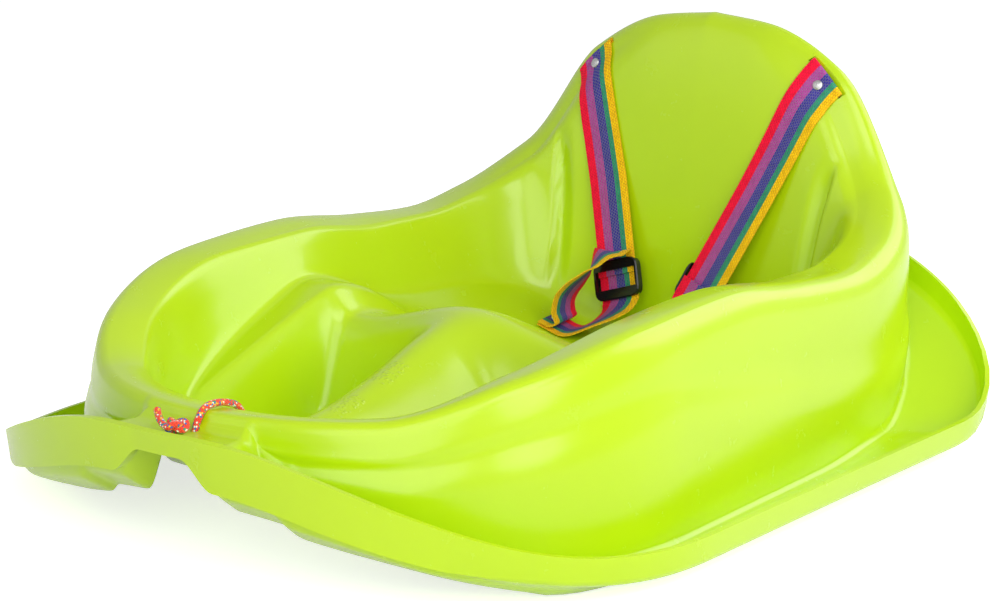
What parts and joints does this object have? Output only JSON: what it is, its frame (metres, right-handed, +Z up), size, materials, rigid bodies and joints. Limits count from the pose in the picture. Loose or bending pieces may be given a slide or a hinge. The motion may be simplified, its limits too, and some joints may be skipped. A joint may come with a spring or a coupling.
{
  "type": "toddler sled",
  "caption": "Moulded toddler sled with a high backrest, a seat behind two leg wells, twin runners, a rivetted webbing harness with sliders and a tow cord.",
  "frame": {"origin": "on the ground at the middle of the sled's length and width, in the symmetry plane of the shell: the bottom centre of the whole box", "axes": "+X to the left-hand side of a child seen from in front (the near side of the picture), -Y the nose, +Y the tail with the backrest, +Z up"},
  "size_m": [0.4706, 0.5669, 0.255],
  "materials": {
    "shell": "satin gloss moulded polyethylene, lime",
    "webbing": "woven, rainbow stripes",
    "slider": "black moulded nylon",
    "rivet": "bright steel",
    "cord": "braided, red with coloured flecks",
    "tie": "thin braided cord"
  },
  "bodies": {
    "sled": {"sled_shell": "shell", "harness_strap_left": "webbing", "harness_strap_right": "webbing", "harness_tail_left": "webbing", "harness_tail_right": "webbing", "rivet_upper_left": "rivet", "rivet_upper_right": "rivet", "rivet_lower_left": "rivet", "rivet_lower_right": "rivet", "cord_knot": "cord", "tow_cord": "cord", "cord_coil": "cord", "cord_tie": "tie"},
    "slider_left": {"strap_slider_left": "slider"},
    "slider_right": {"strap_slider_right": "slider"}
  },
  "joints": [
    {"name": "slider_left_slide", "type": "slide", "parent": "sled", "child": "slider_left", "axis": [0.3789, 0.2768, 0.8831], "range_m": [0, 0.05], "deforming": ["harness_tail_left"]},
    {"name": "slider_right_slide", "type": "slide", "parent": "sled", "child": "slider_right", "axis": [-0.3023, 0.242, 0.922], "range_m": [0, 0.05], "deforming": ["harness_tail_right"]}
  ]
}
